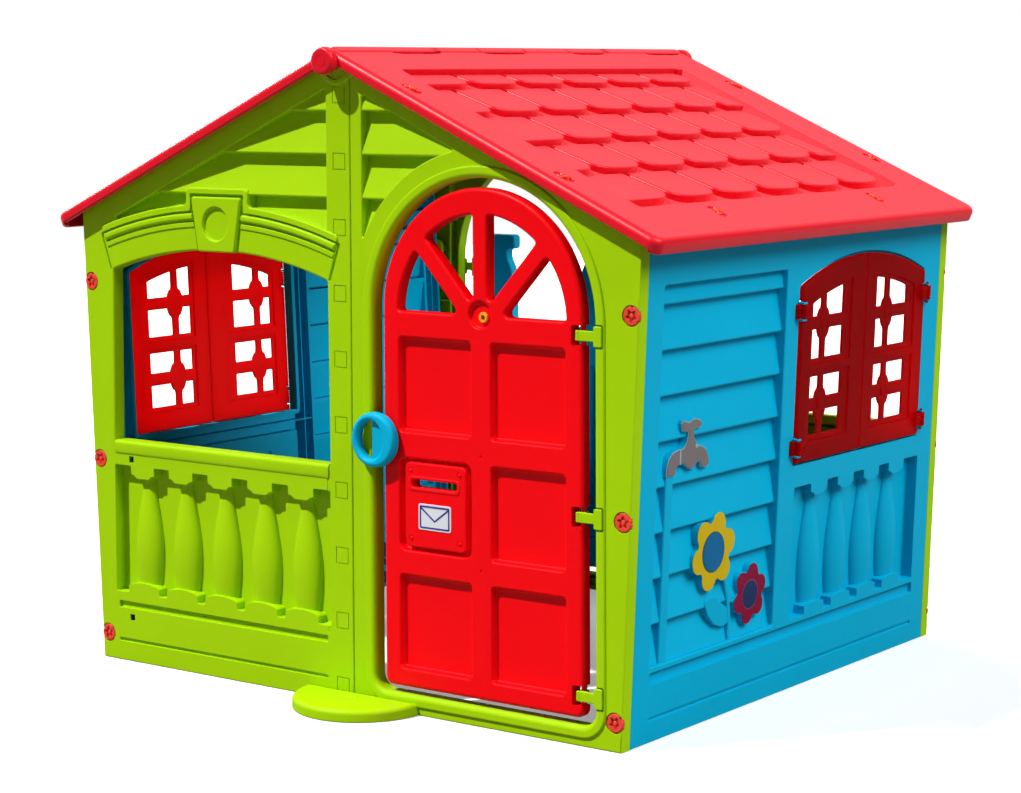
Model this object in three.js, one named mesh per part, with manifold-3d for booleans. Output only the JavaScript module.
// Child's plastic playhouse: two gable walls of two panels each, two flared side walls,
// a two-slope roof on a ridge beam, a full door, a low back gate and four window shutters.
// Millimetres, +Z up. The origin is on the floor at the centre of the house.
// X runs along the front wall, Y from the front wall (-) to the back wall (+).
// The front half and the right side wall are modelled once and turned by 180 degrees
// for the back half and the left side wall, because the same mouldings are used twice.
import * as THREE from "three";
import { mergeVertices } from "three/addons/utils/BufferGeometryUtils.js";
import Module from "manifold-3d";

const wasm = await Module();
wasm.setup();

// ---- Driving dimensions ----
const DEPTH = 1075; // between the outer faces of the front and back walls
const HALF_WIDTH = 592; // centre line to a side wall's outer face, at the floor
const FLARE = 0.05; // how far a side wall leans out per unit of height
const RIDGE_Z = 1150; // top of the roof
const ROOF_SLOPE = 0.454; // drop per unit of width
const ROOF_REACH = 684; // centre line to the eave
const OVERHANG = 25; // roof past the outer face of each gable wall
const PANEL = 26; // depth of a wall moulding
const SKIN = 2.6; // its wall thickness
const RECESS = 22; // depth of its sunk fields
const RIM = 5; // width of the closed edge round its hollow back
const GAP = 0.3; // clearance between pieces that rest on each other

// Gable walls
const SEAM_X = 28; // joint between the window panel and the door panel
const GABLE_TOP = RIDGE_Z - 6; // top of the gable under the roof skin
const FIELD_TOP = 1095; // height of the sloped upper edge of the boarded field, at x = 0
const BOARD_PITCH = 76;
const GABLE_BOARDS = 888; // lower edge of the lowest full gable board
const WINDOW = { left: -556, right: -23, sill: 411, spring: 741, rise: 44 };
const KEYSTONE = { x: -286, halfTop: 62, halfFoot: 44, foot: 780, top: 882, frame: 898 };
const ARCH_BAND = 85; // window arch to the edge of the boarded field above it
const RAIL = { left: -556, right: -24, foot: 131, top: 372 };
const BALUSTER_PITCH = 98;
const DOORWAY = { left: 78, right: 542, foot: 35, spring: 698 };
const DOORWAY_BAND = 50; // flat band round the doorway arch

// Side walls, in the wall's own frame: x along the wall from its middle
const SIDE_HALF = DEPTH / 2 - PANEL - GAP;
const SIDE_TOP = 855;
const SIDE_FIELD = { left: -462, right: -68, foot: 128, top: 760 };
const SIDE_BOARDS = 195; // lower edge of the lowest full board
const SIDE_WINDOW = { left: -20, right: 447, sill: 410, spring: 726, rise: 48 };
const SIDE_RAIL = { left: -8, right: 458, foot: 128, top: 366 };

// Doors: both leaves share one width and one hinge line
const LEAF = { left: 102, right: 520, foot: 47, spring: 704, thick: 24, proud: 4 };
const HINGE_X = 515;
const HINGE_Y = 8; // hinge line behind the wall's outer face
const HINGE_HEIGHTS = [84, 380, 678];
const PIN_R = 4.6;
const NOTCH = { x: 498, half: 17 };
const FAN = { foot: 699, centre: 694, radius: 176, bar: 31, hub: 674 };
const GATE = { rail: 556, newel: 66, top: 752 };

// Shutters
const SHUTTER = { thick: 10, proud: 4, gap: 2 };
const KNUCKLE = { height: 25, r: 7.4, pin: 3, ahead: 8 };
const SHUTTER_KNUCKLES = [440, 684];

// Fasteners
const CORNER_BOLTS = [48, 379, 715];
const BOLT = { head: 16, shank: 5, inset: 15, depth: 6 };
const ROOF_BOLT = { head: 9, shank: 4 };
const ROOF_BOLTS_GABLE = [173, 520]; // down the slope from the ridge
const ROOF_BOLTS_EAVE = { u: 675, y: 277 }; // down the slope, and each way from the middle
const BEAM = { z: 1127, r: 14, bore: 11.5, knob: 22.5, knobLength: 18 };

// ---- Materials ----
const material = (color, roughness) =>
  new THREE.MeshStandardMaterial({ color, roughness, metalness: 0 });
const LIME = material(0x9fcc06, 0.45);
const SKY = material(0x05a6d3, 0.45);
const RED = material(0xf01020, 0.4);
const ROOF_RED = material(0xf2434c, 0.5);
const DARK_RED = material(0xb5101a, 0.4);
const AMBER = material(0xf2a81c, 0.35);
const STICKER = material(0x2d3c98, 0.5);

// ---- Solids ----
function solid(geometry) {
  const flat = geometry.index ? geometry.toNonIndexed() : geometry;
  const bare = new THREE.BufferGeometry();
  bare.setAttribute("position", flat.getAttribute("position"));
  const merged = mergeVertices(bare, 1e-3);
  return new wasm.Manifold(
    new wasm.Mesh({
      numProp: 3,
      vertProperties: merged.attributes.position.array,
      triVerts: new Uint32Array(merged.index.array),
    }),
  );
}

function surface(manifold) {
  const mesh = manifold.getMesh();
  const geometry = new THREE.BufferGeometry();
  geometry.setAttribute("position", new THREE.BufferAttribute(mesh.vertProperties, 3));
  geometry.setIndex(new THREE.BufferAttribute(mesh.triVerts, 1));
  geometry.computeVertexNormals();
  return geometry;
}

const joined = (solids) => solids.reduce((all, next) => all.add(next));

function block(x0, x1, y0, y1, z0, z1) {
  const box = new THREE.BoxGeometry(x1 - x0, y1 - y0, z1 - z0);
  return solid(box.translate((x0 + x1) / 2, (y0 + y1) / 2, (z0 + z1) / 2));
}

// A flat outline of [x, z] points made into a plate that fills y0 to y1.
function plate(points, y0, y1) {
  const shape = new THREE.Shape(points.map(([x, z]) => new THREE.Vector2(x, z)));
  const body = new THREE.ExtrudeGeometry(shape, { depth: y1 - y0, bevelEnabled: false });
  return solid(body.rotateX(Math.PI / 2).translate(0, y1, 0));
}

// A [y, z] section carried along x.
function rail(section, x0, x1) {
  const shape = new THREE.Shape(section.map(([y, z]) => new THREE.Vector2(y, z)));
  const body = new THREE.ExtrudeGeometry(shape, { depth: x1 - x0, bevelEnabled: false });
  return solid(body.rotateY(Math.PI / 2).rotateX(Math.PI / 2).translate(x0, 0, 0));
}

function rodY(x, z, r, y0, y1, sides = 12) {
  const rod = new THREE.CylinderGeometry(r, r, y1 - y0, sides);
  return solid(rod.translate(x, (y0 + y1) / 2, z));
}

function rodZ(x, y, r, z0, z1, sides = 12) {
  const rod = new THREE.CylinderGeometry(r, r, z1 - z0, sides).rotateX(Math.PI / 2);
  return solid(rod.translate(x, y, (z0 + z1) / 2));
}

// ---- Outlines ----
function arc(cx, cz, r, from, to, steps) {
  const points = [];
  for (let i = 0; i <= steps; i++) {
    const angle = THREE.MathUtils.degToRad(from + ((to - from) * i) / steps);
    points.push([cx + r * Math.cos(angle), cz + r * Math.sin(angle)]);
  }
  return points;
}

const radiusOf = (halfChord, rise) => (halfChord ** 2 + rise ** 2) / (2 * rise);

// Anticlockwise outline moved inwards by a distance, or outwards if it is negative.
function inset(points, distance) {
  const count = points.length;
  return points.map((point, i) => {
    const [a, b] = [points[(i + count - 1) % count], points[(i + 1) % count]];
    const before = new THREE.Vector2(point[0] - a[0], point[1] - a[1]).normalize();
    const after = new THREE.Vector2(b[0] - point[0], b[1] - point[1]).normalize();
    const mitre = new THREE.Vector2(-before.y - after.y, before.x + after.x);
    const scale = (2 * distance) / mitre.lengthSq();
    return [point[0] + mitre.x * scale, point[1] + mitre.y * scale];
  });
}

// Opening with a shallow arched head.
function archedWindow({ left, right, sill, spring, rise }, steps = 10) {
  const half = (right - left) / 2;
  const r = radiusOf(half, rise);
  const tilt = THREE.MathUtils.radToDeg(Math.asin(half / r));
  const head = arc((left + right) / 2, spring + rise - r, r, 90 - tilt, 90 + tilt, steps);
  return [[left, sill], [right, sill], ...head];
}

// Opening or leaf with a half-round head.
function roundHead({ left, right, foot, spring }, steps = 20) {
  const r = (right - left) / 2;
  return [[left, foot], [right, foot], ...arc((left + right) / 2, spring, r, 0, 180, steps)];
}

const rectangle = (x0, x1, z0, z1) => [[x0, z0], [x1, z0], [x1, z1], [x0, z1]];
const edgeAt = (z) => HALF_WIDTH + FLARE * z;
const eaveCorner = () => {
  const z = (GABLE_TOP - ROOF_SLOPE * HALF_WIDTH) / (1 + ROOF_SLOPE * FLARE);
  return [edgeAt(z), z];
};

// ---- Wall relief ----
// Lapped boards: each one comes forward towards its lower edge.
function boards(x0, x1, lowest, highest, lip, back) {
  const list = [];
  for (let z = lowest; z < highest; z += BOARD_PITCH) {
    list.push(rail([[back, z], [back, z + BOARD_PITCH], [lip, z]], x0, x1));
  }
  return joined(list);
}

// The hollows behind the boards, so that each board is a skin of even thickness.
function boardHollows(x0, x1, lowest, highest, lip) {
  const list = [];
  for (let z = lowest; z < highest; z += BOARD_PITCH) {
    const foot = z + SKIN;
    list.push(rail([[PANEL + 1, foot], [PANEL + 1, z + BOARD_PITCH], [lip + SKIN, foot]], x0, x1));
  }
  return joined(list);
}

function boardedField(outline, lowest, highest, lip) {
  const xs = outline.map(([x]) => x);
  const [x0, x1] = [Math.min(...xs) - 1, Math.max(...xs) + 1];
  const front = plate(outline, -1, RECESS);
  const behind = plate(inset(outline, SKIN), 0, PANEL + 2);
  return {
    cut: front.subtract(boards(x0, x1, lowest, highest, lip, RECESS + 1)),
    hollow: behind.intersect(boardHollows(x0, x1, lowest, highest, lip)),
  };
}

// Bottle-shaped half baluster standing out of the floor of its recess, or the hollow behind it.
function baluster(x, foot, top, skin = 0) {
  const profile = [[0, 0], [31, 0], [34, 70], [15, 180], [15, 236], [0, 236]];
  const height = (top - foot) / 236;
  const points = profile.map(([r, z]) => new THREE.Vector2(Math.max(0, r - skin), z * height));
  const body = new THREE.LatheGeometry(points, 8).rotateX(Math.PI / 2);
  return solid(body.scale(1, 0.52, 1).translate(x, RECESS + 1 + skin / 2, foot));
}

function balustrade(rail, count) {
  const middle = (rail.left + rail.right) / 2;
  const kept = [];
  const hollows = [];
  for (let i = 0; i < count; i++) {
    const x = middle + (i - (count - 1) / 2) * BALUSTER_PITCH;
    kept.push(baluster(x, rail.foot - 1, rail.top + 1));
    hollows.push(baluster(x, rail.foot + 20, rail.top - 22, SKIN + 1));
    kept.push(block(x - 30, x + 30, 0, RECESS + 1, rail.top - 18, rail.top + 1));
    kept.push(block(x - 38, x + 38, 2, RECESS + 1, rail.foot - 1, rail.foot + 14));
  }
  const recess = plate(rectangle(rail.left, rail.right, rail.foot, rail.top), -1, RECESS);
  return recess.subtract(joined(kept)).add(joined(hollows));
}

// Hollow back of a moulding: inside its rim, clear of its fields and of its screw bosses.
function hollowBack(outline, fields, bosses) {
  const hollow = plate(inset(outline, RIM), SKIN, PANEL + 1);
  const walls = fields.map((field) => plate(inset(field, -SKIN), 0, PANEL + 2));
  return hollow.subtract(joined([...walls, ...bosses]));
}

// ---- Gable walls ----
const cornerBosses = (side) =>
  CORNER_BOLTS.map((z) => rodY(side * (edgeAt(z) - BOLT.inset), z, BOLT.head + 5, 0, PANEL + 2));

function windowPanelOutline() {
  const [x, z] = eaveCorner();
  const seamTop = GABLE_TOP - ROOF_SLOPE * SEAM_X;
  return [[-HALF_WIDTH, 0], [SEAM_X, 0], [SEAM_X, seamTop], [0, GABLE_TOP], [-x, z]];
}

function gableField() {
  const half = (WINDOW.right - WINDOW.left) / 2;
  const middle = (WINDOW.left + WINDOW.right) / 2;
  const inner = radiusOf(half, WINDOW.rise);
  const centre = WINDOW.spring + WINDOW.rise - inner;
  const r = inner + ARCH_BAND;
  const [left, right] = [-545, -26];
  const frame = 75; // half width of the raised frame round the keystone
  const angle = (x) => THREE.MathUtils.radToDeg(Math.acos((x - middle) / r));
  const under = arc(middle, centre, r, angle(left), angle(KEYSTONE.x - frame), 5);
  const after = arc(middle, centre, r, angle(KEYSTONE.x + frame), angle(right), 5);
  return [
    [right, FIELD_TOP + right * ROOF_SLOPE],
    [left, FIELD_TOP + left * ROOF_SLOPE],
    ...under,
    [KEYSTONE.x - frame, KEYSTONE.frame],
    [KEYSTONE.x + frame, KEYSTONE.frame],
    ...after,
  ];
}

function keystone() {
  const { x, halfTop, halfFoot, foot, top } = KEYSTONE;
  const outline = [[x - halfFoot, foot], [x + halfFoot, foot], [x + halfTop, top], [x - halfTop, top]];
  return plate(outline, -4, SKIN).subtract(rodY(x, (foot + top) / 2, 32, -5, -1, 20));
}

function windowPanel(boltHoles) {
  const outline = windowPanelOutline();
  const opening = archedWindow(WINDOW);
  const field = gableField();
  const rails = rectangle(RAIL.left, RAIL.right, RAIL.foot, RAIL.top);
  const siding = boardedField(field, GABLE_BOARDS - BOARD_PITCH, RIDGE_Z, 1);
  return plate(outline, 0, PANEL)
    .subtract(hollowBack(outline, [opening, field, rails], cornerBosses(-1)))
    .subtract(siding.cut)
    .subtract(siding.hollow)
    .subtract(plate(opening, -1, PANEL + 1))
    .subtract(balustrade(RAIL, 5))
    .add(keystone())
    .subtract(boltHoles);
}

function doorPanelOutline() {
  const [x, z] = eaveCorner();
  const left = SEAM_X + GAP;
  return [[left, 0], [HALF_WIDTH, 0], [x, z], [left, GABLE_TOP - ROOF_SLOPE * left]];
}

function doorField() {
  const left = 54;
  const middle = (DOORWAY.left + DOORWAY.right) / 2;
  const r = (DOORWAY.right - DOORWAY.left) / 2 + DOORWAY_BAND;
  const from = 180 - THREE.MathUtils.radToDeg(Math.acos((middle - left) / r));
  const band = arc(middle, DOORWAY.spring, r, from, 99.5, 8);
  return [...band, [left, FIELD_TOP - left * ROOF_SLOPE]];
}

function doorPanel(boltHoles) {
  const outline = doorPanelOutline();
  const opening = roundHead(DOORWAY);
  const field = doorField();
  const siding = boardedField(field, GABLE_BOARDS - BOARD_PITCH, RIDGE_Z, 1);
  return plate(outline, 0, PANEL)
    .subtract(hollowBack(outline, [opening, field], cornerBosses(1)))
    .subtract(siding.cut)
    .subtract(siding.hollow)
    .subtract(plate(opening, -1, PANEL + 1))
    .subtract(boltHoles);
}

// Half-round foot that steadies the seam of a gable wall.
function seamFoot() {
  const radius = 125;
  const x = 44;
  const profile = [[0, 0], [radius, 0], [radius, 12], [radius - 8, 22], [0, 22]];
  const points = profile.map(([r, z]) => new THREE.Vector2(r, z));
  const disc = solid(new THREE.LatheGeometry(points, 32).rotateX(Math.PI / 2).translate(x, 0, 0));
  const under = rodZ(x, 0, radius - 10, -1, 22 - SKIN - 1, 32);
  return disc
    .subtract(under.subtract(block(x - 200, x + 200, -GAP - SKIN, 200, -5, 40)))
    .subtract(block(x - 200, x + 200, -GAP, 200, -1, 40));
}

// ---- Side wall ----
function sideWall() {
  const outline = rectangle(-SIDE_HALF, SIDE_HALF, 0, SIDE_TOP);
  const opening = archedWindow(SIDE_WINDOW);
  const field = rectangle(SIDE_FIELD.left, SIDE_FIELD.right, SIDE_FIELD.foot, SIDE_FIELD.top);
  const rails = rectangle(SIDE_RAIL.left, SIDE_RAIL.right, SIDE_RAIL.foot, SIDE_RAIL.top);
  const siding = boardedField(field, SIDE_BOARDS - BOARD_PITCH, SIDE_FIELD.top, 8);
  const { y } = ROOF_BOLTS_EAVE;
  const bosses = [-y, y].map((x) => block(x - 12, x + 12, 0, PANEL + 2, SIDE_TOP - 40, SIDE_TOP));
  return plate(outline, 0, PANEL)
    .subtract(hollowBack(outline, [opening, field, rails], bosses))
    .subtract(siding.cut)
    .subtract(siding.hollow)
    .subtract(plate(opening, -1, PANEL + 1))
    .subtract(balustrade(SIDE_RAIL, 4))
    .add(shutterLugs());
}

// Lugs that hold the shutters' hinge pins, above and below each knuckle.
function shutterLugs() {
  const reach = KNUCKLE.height / 2;
  const list = [];
  for (const side of [-1, 1]) {
    const x = shutterHinge(side);
    const [near, far] = side < 0 ? [x - 9, x + 5] : [x - 5, x + 9];
    const bore = rodZ(x, -KNUCKLE.ahead, KNUCKLE.pin + GAP, 0, SIDE_TOP, 10);
    for (const z of SHUTTER_KNUCKLES) {
      for (const foot of [z - reach - 4.5, z + reach + 0.5]) {
        list.push(block(near, far, -KNUCKLE.ahead - 5, 1, foot, foot + 4).subtract(bore));
      }
    }
  }
  return joined(list);
}

// ---- Shutters, in the side wall's frame ----
function shutterHinge(side) {
  return side < 0 ? SIDE_WINDOW.left - 1 : SIDE_WINDOW.right + 1;
}

function shutterOutline(side) {
  const middle = (SIDE_WINDOW.left + SIDE_WINDOW.right) / 2;
  const whole = inset(archedWindow(SIDE_WINDOW, 12), SHUTTER.gap);
  const kept = whole.filter(([x]) => side * (x - middle) > 1);
  const top = Math.max(...whole.map(([, z]) => z));
  const meeting = middle + side * 0.75;
  const edge = [[meeting, SIDE_WINDOW.sill + SHUTTER.gap], [meeting, top]];
  return side < 0 ? [kept[0], ...edge, ...kept.slice(1)] : [edge[0], ...kept, edge[1]];
}

// Four rows of two lights, with a bar that swells where it crosses two of the rails.
function shutterLights(side) {
  const middle = (SIDE_WINDOW.left + SIDE_WINDOW.right) / 2;
  const left = side < 0 ? SIDE_WINDOW.left + 40 : middle + 40.5;
  const right = side < 0 ? middle - 75.5 : SIDE_WINDOW.right - 68;
  const bar = left + (right - left) * 0.36;
  const rows = [[455, 499], [523, 562], [594, 647], [670, 728]];
  const half = (SIDE_WINDOW.right - SIDE_WINDOW.left) / 2;
  const r = radiusOf(half, SIDE_WINDOW.rise);
  const crown = SIDE_WINDOW.spring + SIDE_WINDOW.rise - 46;
  const under = rodY(middle, crown - r, r, -40, 40, 72);
  const swell = (z) => [[bar - 20, z], [bar, z - 27], [bar + 20, z], [bar, z + 27]];
  const lights = rows.map(([z0, z1]) => plate(rectangle(left, right, z0, z1), -20, 20));
  return joined(lights)
    .intersect(under)
    .subtract(block(bar - 6, bar + 6, -30, 30, 400, 760))
    .subtract(plate(swell(658), -30, 30))
    .subtract(plate(swell(509), -30, 30));
}

// A leaf with its two knuckles, notched above and below each for the wall's lugs.
function shutter(side) {
  const [front, back] = [-SHUTTER.proud, SHUTTER.thick - SHUTTER.proud];
  const [x, reach] = [shutterHinge(side), KNUCKLE.height / 2];
  const [near, far] = side < 0 ? [x, x + 24] : [x - 24, x];
  const [notch0, notch1] = side < 0 ? [x - 1, x + 11] : [x - 11, x + 1];
  let leaf = plate(shutterOutline(side), front, back).subtract(shutterLights(side));
  for (const z of SHUTTER_KNUCKLES) {
    const [foot, top] = [z - reach, z + reach];
    leaf = leaf.subtract(block(notch0, notch1, front - 1, back + 1, top, top + 6));
    leaf = leaf.subtract(block(notch0, notch1, front - 1, back + 1, foot - 6, foot));
    leaf = leaf.add(rodZ(x, -KNUCKLE.ahead, KNUCKLE.r, foot, top));
    leaf = leaf.add(block(near, far, -KNUCKLE.ahead - 4, front + 1, foot, top));
  }
  return leaf.subtract(rodZ(x, -KNUCKLE.ahead, KNUCKLE.pin + 0.4, 0, SIDE_TOP, 10));
}

function shutterPin(side) {
  const reach = KNUCKLE.height / 2 + 4;
  const [low, high] = [SHUTTER_KNUCKLES[0] - reach, SHUTTER_KNUCKLES[1] + reach];
  return rodZ(shutterHinge(side), -KNUCKLE.ahead, KNUCKLE.pin, low, high, 10);
}

// ---- Doors, in the gable wall's frame ----
function hingeNotches(body) {
  const back = LEAF.thick - LEAF.proud;
  let cut = body;
  for (const z of HINGE_HEIGHTS) {
    const [z0, z1] = [z - NOTCH.half, z + NOTCH.half];
    cut = cut.subtract(block(NOTCH.x, LEAF.right + 1, -LEAF.proud - 1, back + 1, z0, z1));
    cut = cut.add(rodZ(HINGE_X, HINGE_Y, PIN_R, z0 - 2, z1 + 2, 12));
  }
  return cut;
}

// Four panes under the arch, parted by an upright bar and two sloping bars.
function fanPanes(grow = 0) {
  const x = (LEAF.left + LEAF.right) / 2;
  const { foot, centre, radius, hub } = FAN;
  const bar = FAN.bar - 2 * grow;
  const half = bar / 2;
  let panes = plate(arc(x, centre, radius + grow, 0, 360, 40).slice(0, 40), -20, 40);
  panes = panes.subtract(block(x - 300, x + 300, -30, 50, 400, foot - grow));
  panes = panes.subtract(block(x - half, x + half, -30, 50, 400, 950));
  for (const angle of [48, 132]) {
    const spoke = new THREE.BoxGeometry(400, 80, bar);
    spoke.translate(200, 0, 0).rotateY(-THREE.MathUtils.degToRad(angle));
    panes = panes.subtract(solid(spoke.translate(x, 0, hub)));
  }
  return panes;
}

const DOOR_COLUMNS = [[137, 291], [333, 486]];
const DOOR_ROWS = [[80, 244], [286, 447], [491, 655]];

function doorRecesses() {
  const list = DOOR_COLUMNS.flatMap(([x0, x1]) =>
    DOOR_ROWS.map(([z0, z1]) => block(x0, x1, -LEAF.proud - 1, -LEAF.proud + 8, z0, z1)),
  );
  return joined(list);
}

const MAIL = { left: 150, right: 280, foot: 292, top: 441, slotX: [168, 262], slotZ: [397, 411] };
const HUB = { x: (LEAF.left + LEAF.right) / 2, z: 701, r: 24 };
const HANDLE = { x: 92, z: 474, r: 48, thick: 20, y: -25.3 };

function mailSlot(grow) {
  const [x0, x1] = MAIL.slotX;
  const [z0, z1] = MAIL.slotZ;
  return block(x0 - grow, x1 + grow, -30, 40, z0 - grow, z1 + grow);
}

// Hollow back, clear of the hinge side, the panes, the letter slot and the handle.
function doorHollow() {
  const back = LEAF.thick - LEAF.proud;
  const [x0, x1] = [LEAF.left + RIM, LEAF.right - 30];
  const shallow = block(x0, x1, SKIN - LEAF.proud, back + 1, LEAF.foot + RIM, 655);
  const walls = DOOR_COLUMNS.flatMap(([left, right]) =>
    DOOR_ROWS.map(([foot, top]) => block(left - 3, right + 3, -9, 8 + SKIN - LEAF.proud, foot - 3, top + 3)),
  );
  const head = plate(inset(roundHead(LEAF, 24), RIM + 1), SKIN - LEAF.proud, back + 1)
    .subtract(block(0, 600, -9, 40, 0, 735))
    .subtract(fanPanes(4));
  return shallow
    .subtract(joined([...walls, mailSlot(3), rodY(HANDLE.x + 26, HANDLE.z, 12, -9, 30)]))
    .add(head);
}

function frontDoor() {
  const back = LEAF.thick - LEAF.proud;
  const leaf = plate(roundHead(LEAF, 24), -LEAF.proud, back)
    .subtract(fanPanes())
    .subtract(doorRecesses())
    .subtract(doorHollow())
    .subtract(mailSlot(0))
    .subtract(rodY(HUB.x, HUB.z, HUB.r, -LEAF.proud - 1, -LEAF.proud + 7, 20))
    .subtract(rodY(HUB.x, HUB.z, 9.2, -10, 30, 14))
    .subtract(rodY(HANDLE.x + 26, HANDLE.z, 6.3, -10, 30, 12));
  return hingeNotches(leaf);
}

function mailPlate() {
  const { left, right, foot, top } = MAIL;
  const front = -LEAF.proud - 1;
  const back = -LEAF.proud + 8 - GAP;
  const hollow = block(left + 4, right - 4, front + SKIN, back + 1, foot + 4, top - 4);
  return plate(rectangle(left, right, foot, top), front, back)
    .subtract(hollow.subtract(mailSlot(SKIN)))
    .subtract(mailSlot(0));
}

// Plain envelope badge under the letter slot.
function mailBadge() {
  const y = -LEAF.proud - 1;
  return block(182, 248, y - 1.2, y - GAP / 2, 328, 370);
}

function peepholeRing() {
  const profile = [[4.5, 0], [8.6, 0], [8.6, 9], [12, 11], [12, 15], [4.5, 15]];
  const points = [...profile, profile[0]].map(([r, z]) => new THREE.Vector2(r, z));
  const ring = new THREE.LatheGeometry(points, 14);
  return solid(ring.rotateX(Math.PI).translate(HUB.x, 11.7, HUB.z));
}

// Pull ring, with a web that closes the half of its hole over the door.
function doorHandle() {
  const { x, z, r, thick, y } = HANDLE;
  const profile = [[30, 4], [34, 0], [r - 6, 0], [r, 6], [r, thick - 3], [r - 3, thick], [30, thick]];
  const points = [...profile, profile[0]].map(([radius, depth]) => new THREE.Vector2(radius, depth));
  const ring = solid(new THREE.LatheGeometry(points, 24).translate(x, y, z));
  const web = plate(arc(x, z, 31, -90, 90, 12), y + 12, y + thick);
  const shank = rodY(x + 26, z, 6, y + thick - 1, 18, 12);
  return ring.add(web).add(shank);
}

// Strap that holds the door's pin to the wall.
function hingeClip(z) {
  const half = 9;
  const eye = rodZ(HINGE_X, HINGE_Y, 8, z - half, z + half);
  const strap = block(HINGE_X, 558, -4.6, -GAP * 2, z - half, z + half);
  const neck = block(HINGE_X - 2, HINGE_X + 8, -4.6, HINGE_Y, z - half, z + half);
  const head = block(546, 558, -4.6, -GAP * 2, z - 17, z + 17);
  const bore = rodZ(HINGE_X, HINGE_Y, PIN_R + GAP, z - 20, z + 20, 12);
  return joined([eye, strap, neck, head]).subtract(bore);
}

// Bottle-shaped newel, or the hollow inside it.
function newelPlate(x, front, back, skin) {
  const top = GATE.top - skin;
  const half = [[66, 500], [66, 655], [60, 684], [46, 706], [42, 722 + skin], [71, 724 + skin], [71, top]];
  const right = half.map(([dx, z]) => [x + dx - skin, z]);
  const left = half.map(([dx, z]) => [x - dx + skin, z]).reverse();
  return plate([...right, ...left], front, back);
}

// Low gate between two tall newels, thin-walled and open under its top rail.
function backGate() {
  const [front, back] = [-LEAF.proud, LEAF.thick - LEAF.proud];
  const { left, right, foot } = LEAF;
  const [x0, x1] = [130, 492];
  const bay = block(x0, x1, front - 1, front + 10.5, 90, 510)
    .add(block(x0, x1, back - 10.5, back + 1, 90, 510));
  const posts = [left + GATE.newel + 5, right - GATE.newel - 5];
  const inside = posts.map((x) => newelPlate(x, front + SKIN, back - SKIN, SKIN));
  return hingeNotches(
    plate(rectangle(left, right, foot, GATE.rail + 4), front, back)
      .add(joined(posts.map((x) => newelPlate(x, front, back, 0))))
      .subtract(bay)
      .subtract(joined(inside).subtract(block(left, right, front - 1, back + 1, 0, 505))),
  );
}

// ---- Roof, in a frame with u down the slope, y along the ridge and w out of the roof ----
const PITCH = Math.atan(ROOF_SLOPE);
const ROOF_HALF = DEPTH / 2 + OVERHANG;
const ROOF_RUN = ROOF_REACH / Math.cos(PITCH);
const ROOF = { skin: 2.6, rim: 4, depth: 28 };
const SHINGLES = { top: 92, first: 155, row: 115, rows: 5, end: 638, near: -462, far: 436, sink: 13 };

// The shingles' stepped line: each row starts sunk and rises to the roof's plane at its lower edge.
function shingleLine(drop) {
  const { top, first, row, rows, end, sink } = SHINGLES;
  const lip = drop ? -1 : 2;
  const line = [[top - drop, lip], [top - drop, -sink - drop]];
  for (let i = 0; i < rows; i++) {
    const to = first + i * row - drop;
    line.push([to, -drop], [to, -sink - drop]);
  }
  return [...line, [end + drop, -sink - drop], [end + drop, lip]];
}

function shingleField(drop) {
  const { near, far } = SHINGLES;
  return rail(shingleLine(drop), -far - drop, -near + drop).rotate([0, 0, -90]);
}

function roofSlope() {
  const { skin, rim, depth } = ROOF;
  const inner = ROOF_HALF - rim;
  let roof = block(-30, ROOF_RUN, -ROOF_HALF, ROOF_HALF, -depth, 0);
  roof = roof.subtract(block(-40, ROOF_RUN - rim, -inner, inner, -depth - 1, -skin));
  roof = roof.add(shingleField(skin)).subtract(shingleField(0));
  for (const [u, y] of roofBoltPlaces()) {
    roof = roof.subtract(rodZ(u, y, ROOF_BOLT.shank + 0.5, -30, 10, 8));
  }
  return roof;
}

function roofBoltPlaces() {
  const gable = DEPTH / 2 - PANEL / 2;
  const { u, y } = ROOF_BOLTS_EAVE;
  const places = ROOF_BOLTS_GABLE.flatMap((run) => [[run, -gable], [run, gable]]);
  return [...places, [u, -y], [u, y]];
}

// ---- Assembly ----
const house = new THREE.Group();

function add(parent, name, manifold, finish) {
  const mesh = new THREE.Mesh(surface(manifold), finish);
  mesh.name = name;
  parent.add(mesh);
  return mesh;
}

// Clearance for the fasteners and the ridge beam in a gable panel.
function gableHoles(side) {
  const list = CORNER_BOLTS.map((z) =>
    rodY(side * (edgeAt(z) - BOLT.inset), z, BOLT.head + GAP * 2, -1, BOLT.depth, 14).add(
      rodY(side * (edgeAt(z) - BOLT.inset), z, BOLT.shank + 0.5, -1, PANEL + 1, 8),
    ),
  );
  for (const u of ROOF_BOLTS_GABLE) {
    const hole = new THREE.CylinderGeometry(5, 5, 60, 10).rotateX(Math.PI / 2);
    hole.rotateY(side * PITCH);
    const [x, z] = [side * u * Math.cos(PITCH), RIDGE_Z - u * Math.sin(PITCH)];
    list.push(solid(hole.translate(x, PANEL / 2, z)));
  }
  list.push(rodY(0, BEAM.z, BEAM.r + GAP, -5, PANEL + 5, 20));
  return joined(list);
}

function cornerBolt(side, z) {
  const x = side * (edgeAt(z) - BOLT.inset);
  const head = rodY(x, z, BOLT.head, 0.5, BOLT.depth - GAP, 14);
  return head.add(rodY(x, z, BOLT.shank, 1, PANEL + 12, 8));
}

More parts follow.
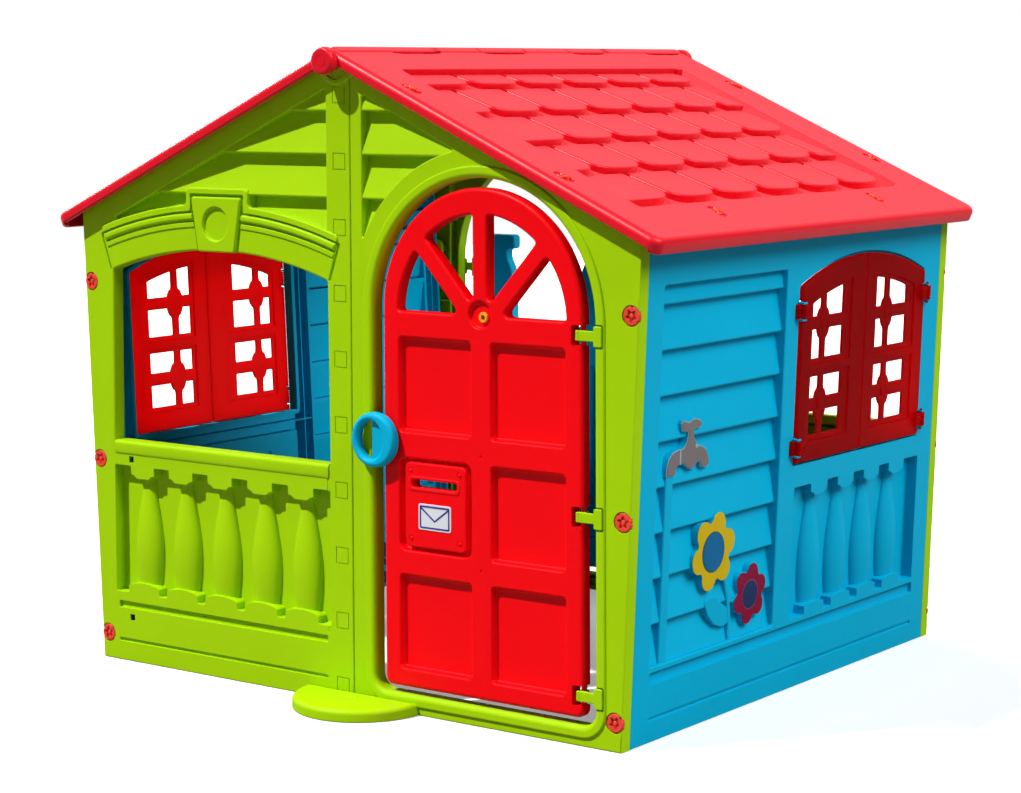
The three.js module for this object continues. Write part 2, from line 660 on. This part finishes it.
function gableWall(turn, prefix) {
  const wall = new THREE.Group();
  wall.position.y = turn ? DEPTH / 2 : -DEPTH / 2;
  wall.rotation.z = turn;
  house.add(wall);
  add(wall, `${prefix}_window_panel`, windowPanel(gableHoles(-1)), LIME);
  add(wall, `${prefix}_door_panel`, doorPanel(gableHoles(1)), LIME);
  add(wall, `${prefix}_seam_foot`, seamFoot(), LIME);
  for (const [index, z] of CORNER_BOLTS.entries()) {
    add(wall, `${prefix}_window_corner_bolt_${index + 1}`, cornerBolt(-1, z), RED);
    add(wall, `${prefix}_door_corner_bolt_${index + 1}`, cornerBolt(1, z), RED);
  }
  for (const [index, z] of HINGE_HEIGHTS.entries()) {
    add(wall, `${prefix}_hinge_clip_${index + 1}`, hingeClip(z), LIME);
  }
  return wall;
}

const LEANING = new THREE.Matrix4()
  .makeTranslation(HALF_WIDTH, 0, 0)
  .multiply(new THREE.Matrix4().makeRotationZ(Math.PI / 2))
  .multiply(new THREE.Matrix4().makeRotationX(Math.atan(FLARE)));
const SLOPING = new THREE.Matrix4().makeRotationY(PITCH).setPosition(0, 0, RIDGE_Z);

const placed = (manifold, matrix) => solid(surface(manifold).applyMatrix4(matrix));

// Clearance for the corner and roof bolts in the right side wall, in the house's frame.
function sideHoles() {
  const ends = [[-SIDE_HALF - 1, 40 - SIDE_HALF], [SIDE_HALF - 40, SIDE_HALF + 1]];
  const list = CORNER_BOLTS.flatMap((z) =>
    ends.map(([y0, y1]) => rodY(edgeAt(z) - BOLT.inset, z, BOLT.shank + 0.5, y0, y1, 8)),
  );
  const { u, y } = ROOF_BOLTS_EAVE;
  for (const side of [-y, y]) {
    list.push(placed(rodZ(u, side, ROOF_BOLT.shank + 0.5, -40, 20, 8), SLOPING));
  }
  return joined(list);
}

function sideWallWithShutters(turn, prefix) {
  const side = new THREE.Group();
  side.rotation.z = turn;
  house.add(side);
  add(side, `${prefix}_side_wall`, placed(sideWall(), LEANING).subtract(sideHoles()), SKY);
  for (const hand of [-1, 1]) {
    const label = hand < 0 ? "a" : "b";
    add(side, `${prefix}_shutter_${label}`, placed(shutter(hand), LEANING), DARK_RED);
    add(side, `${prefix}_shutter_pin_${label}`, placed(shutterPin(hand), LEANING), SKY);
  }
}

function roofBolt([u, y]) {
  const head = rodZ(u, y, ROOF_BOLT.head, GAP, 4, 10);
  return head.add(rodZ(u, y, ROOF_BOLT.shank, -24, 1, 8));
}

function roofSide(turn, prefix) {
  const side = new THREE.Group();
  side.rotation.z = turn;
  house.add(side);
  const beyond = block(-200, 0.4, -700, 700, 900, 1300);
  const beam = rodY(0, BEAM.z, BEAM.r + 1, -700, 700, 20);
  const slope = placed(roofSlope(), SLOPING).subtract(beyond).subtract(beam);
  add(side, `${prefix}_roof_slope`, slope, ROOF_RED);
  for (const [index, place] of roofBoltPlaces().entries()) {
    add(side, `${prefix}_roof_bolt_${index + 1}`, placed(roofBolt(place), SLOPING), ROOF_RED);
  }
}

function ridgeBeam() {
  const end = DEPTH / 2 + OVERHANG;
  const bore = rodY(0, BEAM.z, BEAM.bore, -end - 20, end + 20, 20);
  const tube = rodY(0, BEAM.z, BEAM.r, -end - 10, end + 10, 20).subtract(bore);
  add(house, "ridge_beam", tube, ROOF_RED);
  for (const [prefix, way] of [["front", -1], ["back", 1]]) {
    const faces = [way * (end + 0.5), way * (end + 0.5 + BEAM.knobLength)];
    const [y0, y1] = faces.sort((a, b) => a - b);
    const socket = rodY(0, BEAM.z, BEAM.r + GAP, -end - 10.5, end + 10.5, 20);
    const knob = rodY(0, BEAM.z, BEAM.knob, y0, y1, 20).subtract(socket);
    add(house, `${prefix}_ridge_knob`, knob, ROOF_RED);
  }
}

const frontWall = gableWall(0, "front");
const backWall = gableWall(Math.PI, "back");
sideWallWithShutters(0, "right");
sideWallWithShutters(Math.PI, "left");
roofSide(0, "right");
roofSide(Math.PI, "left");
ridgeBeam();
add(frontWall, "front_door", frontDoor(), RED);
add(frontWall, "mail_plate", mailPlate(), RED);
add(frontWall, "mail_badge", mailBadge(), STICKER);
add(frontWall, "peephole_ring", peepholeRing(), AMBER);
add(frontWall, "door_handle", doorHandle(), SKY);
add(backWall, "back_gate", backGate(), SKY);

export default house;
